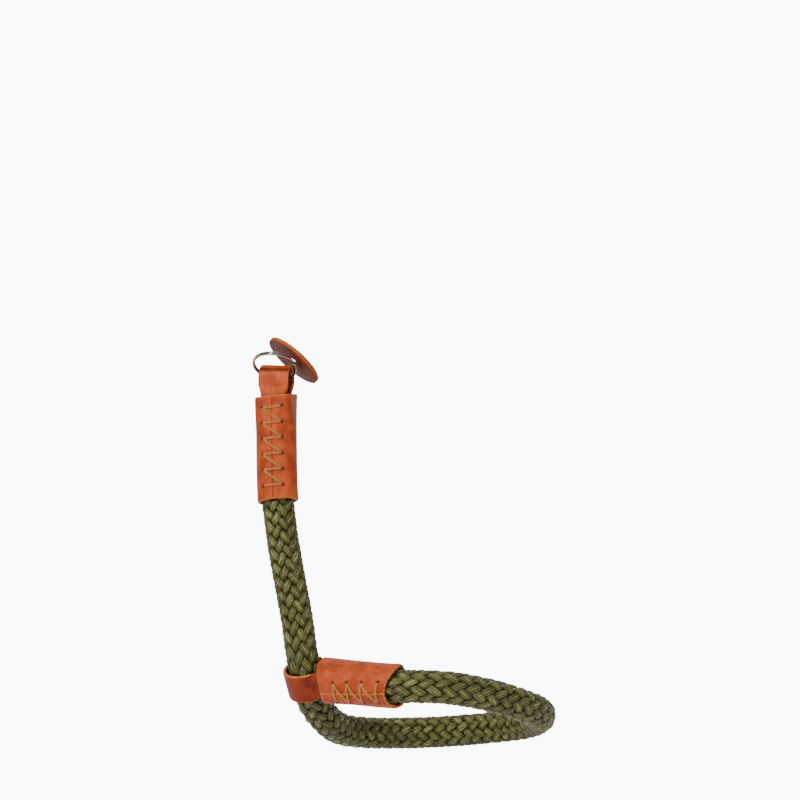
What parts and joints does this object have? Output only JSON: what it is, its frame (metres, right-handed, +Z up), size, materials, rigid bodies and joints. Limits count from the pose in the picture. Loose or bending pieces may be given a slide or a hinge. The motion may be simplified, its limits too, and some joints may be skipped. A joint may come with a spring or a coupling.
{
  "type": "camera wrist strap",
  "caption": "Wrist strap: braided rope noose with a sliding leather loop and stitched leather ends, on a split ring with a leather bumper disc.",
  "frame": {"origin": "right end of the split ring, where the ring hooks on to what carries it", "axes": "+Z up along the hanging strap, +X to the right and +Y away from the viewer of the picture"},
  "size_m": [0.1187, 0.0824, 0.1657],
  "materials": {
    "tan_leather": "smooth pull-up leather, tan",
    "band_leather": "smooth pull-up leather, a darker red-brown",
    "disc_leather": "smooth leather with a raw edge",
    "green_rope": "braided, glossy yarn, olive green",
    "nickel": "polished nickel"
  },
  "bodies": {
    "ring": {"split_ring": "nickel", "bumper_disc": "disc_leather"},
    "strap": {"ring_tab": "tan_leather", "upper_sleeve": "tan_leather", "rope": "green_rope", "sliding_loop": "band_leather", "lower_sleeve": "tan_leather"}
  },
  "joints": [
    {"name": "ring_swing", "type": "hinge", "parent": "ring", "child": "strap", "pos_m": [-0.00754, 0.0074, -0.00437], "axis": [0.9659, -0.2588, 0], "range_deg": [-75, 40]}
  ]
}
